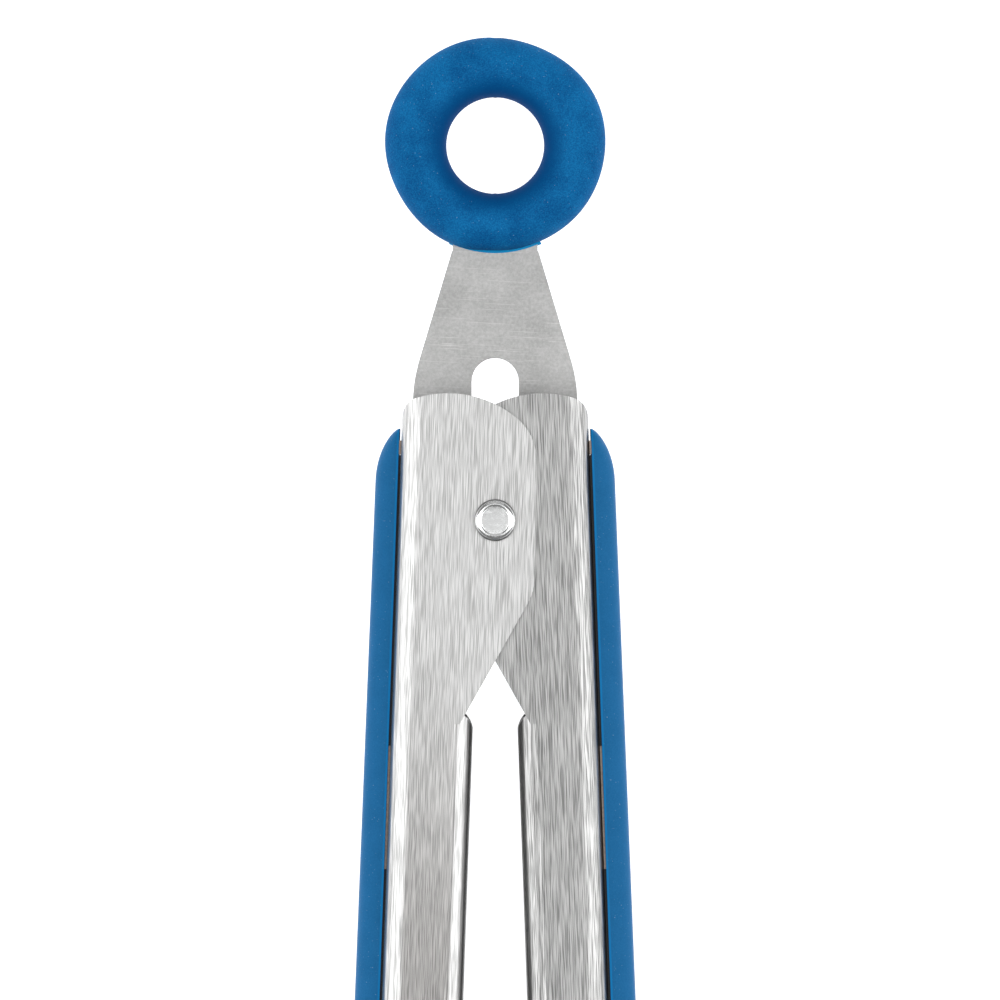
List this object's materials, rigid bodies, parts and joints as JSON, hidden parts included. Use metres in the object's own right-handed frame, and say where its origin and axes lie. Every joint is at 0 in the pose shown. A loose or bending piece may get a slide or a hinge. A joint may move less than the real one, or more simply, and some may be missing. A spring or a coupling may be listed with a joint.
{
  "type": "spring loaded kitchen tongs",
  "caption": "Locking kitchen tongs: two channel arms on one rivet, a spring that opens them, soft blue grips and silicone heads, and a pull ring whose plate holds them shut.",
  "frame": {"origin": "on the table under the middle of the tongs, which lie on their side: the centre of the box's lowest face", "axes": "+Y runs along the arms to the pull ring, +Z stands along the pivot rivet to its dished head, +X is the way the inner arm opens"},
  "size_m": [0.042, 0.3234, 0.039],
  "materials": {
    "ring_rubber": "matt soft rubber with a fine mould line",
    "grip_rubber": "matt soft rubber",
    "tip_silicone": "satin silicone",
    "plate_steel": "matt tumbled steel with fine scratches",
    "outer_arm_steel": "steel brushed along the arm",
    "inner_arm_steel": "steel brushed along the arm",
    "rivet_steel": "polished steel",
    "spring_steel": "drawn wire and stamped steel",
    "sleeve_plastic": "natural bearing plastic",
    "carrier_plastic": "black moulded plastic",
    "core_plastic": "dark glass-filled plastic"
  },
  "bodies": {
    "pivot": {"pivot_rivet": "rivet_steel", "rivet_washer": "rivet_steel", "pivot_sleeve": "sleeve_plastic", "slide_washer": "sleeve_plastic", "torsion_spring": "spring_steel"},
    "left_arm": {"outer_arm": "outer_arm_steel", "left_grip": "grip_rubber", "left_grip_carrier": "carrier_plastic", "left_grip_clips": "spring_steel", "left_head_core": "core_plastic", "left_head_tip": "tip_silicone", "left_head_rivets": "rivet_steel"},
    "right_arm": {"inner_arm": "inner_arm_steel", "right_grip": "grip_rubber", "right_grip_carrier": "carrier_plastic", "right_grip_clips": "spring_steel", "right_head_core": "core_plastic", "right_head_tip": "tip_silicone", "right_head_rivets": "rivet_steel"},
    "pull_tab": {"lock_plate": "plate_steel", "pull_ring": "ring_rubber"}
  },
  "joints": [
    {"name": "left_arm_swing", "type": "hinge", "parent": "pivot", "child": "left_arm", "pos_m": [0, 0.1013, 0.0195], "axis": [0, 0, -1], "range_deg": [0, 11], "stiffness_Nm_per_rad": 1, "springref_deg": 22.92, "deforming": ["torsion_spring"]},
    {"name": "right_arm_swing", "type": "hinge", "parent": "pivot", "child": "right_arm", "pos_m": [0, 0.1013, 0.0195], "axis": [0, 0, 1], "range_deg": [0, 11]},
    {"name": "pull_tab_slide", "type": "slide", "parent": "pivot", "child": "pull_tab", "axis": [0, -1, 0], "range_m": [0, 0.0173]}
  ],
  "couplings": [
    {"joint": "right_arm_swing", "follows": "left_arm_swing", "ratio": 1},
    {"joint": "pull_tab_slide", "follows": "left_arm_swing", "m_per_rad": 0.0901}
  ]
}
